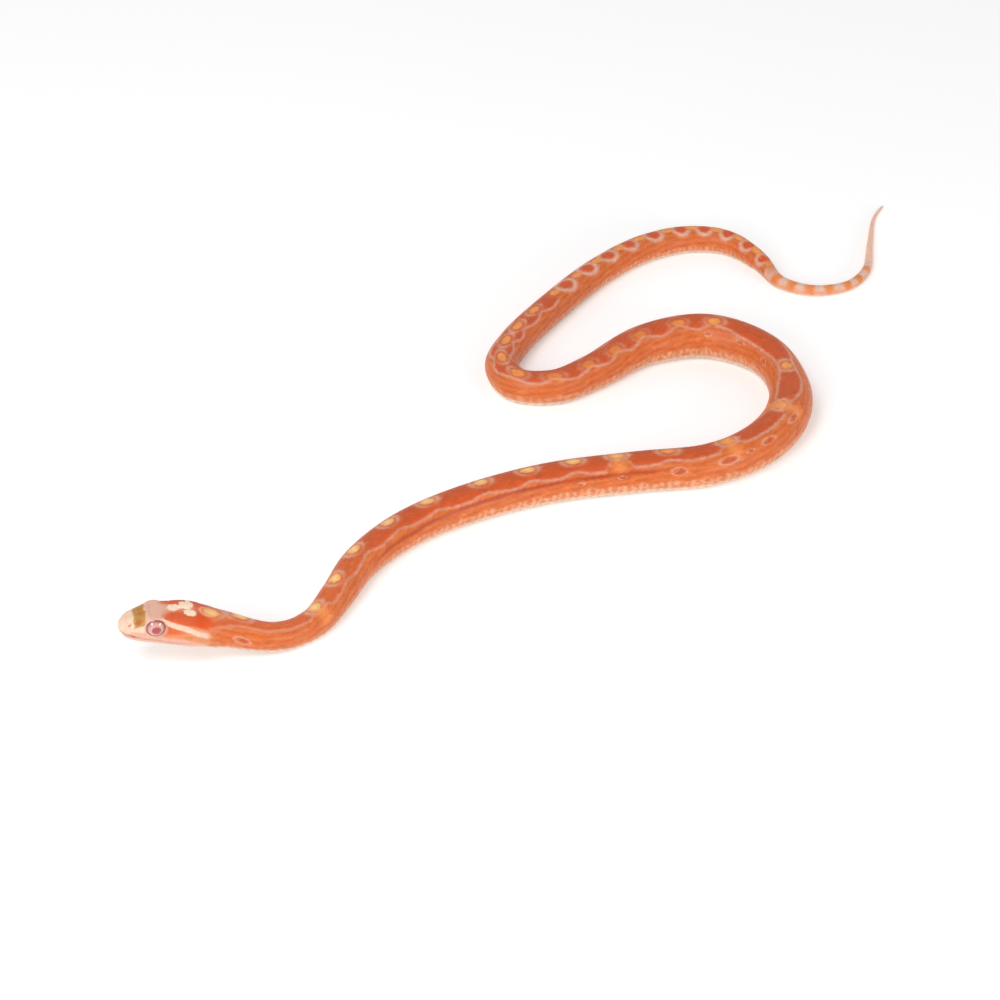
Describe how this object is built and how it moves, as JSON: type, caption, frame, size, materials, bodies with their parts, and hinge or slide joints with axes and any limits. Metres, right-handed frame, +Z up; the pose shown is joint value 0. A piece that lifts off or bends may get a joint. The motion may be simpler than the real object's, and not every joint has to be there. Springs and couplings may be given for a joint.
{
  "type": "young corn snake model",
  "caption": "Life-size still model of a young corn snake, orange with pale markings, lying on its flat belly in two open bends with its head a little raised.",
  "frame": {"origin": "on the floor, under the middle of the whole outline", "axes": "+Z up; the head is at -X and points to -X, the tail ends at +X and +Y, and the picture looks along +Y and down"},
  "size_m": [0.1305, 0.1464, 0.0091],
  "materials": {
    "scaly_skin": "satin scales, orange with red saddles, gold spots and pale rims; smooth pink and orange head plates",
    "eyes": "wet gloss, pink-red"
  },
  "bodies": {
    "root": {"head": "scaly_skin", "lower_jaw": "scaly_skin", "eye_left": "eyes", "eye_right": "eyes", "neck": "scaly_skin", "trunk_1": "scaly_skin", "trunk_2": "scaly_skin", "trunk_3": "scaly_skin", "trunk_4": "scaly_skin", "trunk_5": "scaly_skin", "trunk_6": "scaly_skin", "trunk_7": "scaly_skin", "trunk_8": "scaly_skin", "trunk_9": "scaly_skin", "tail_1": "scaly_skin", "tail_2": "scaly_skin", "tail_3": "scaly_skin"}
  },
  "joints": []
}
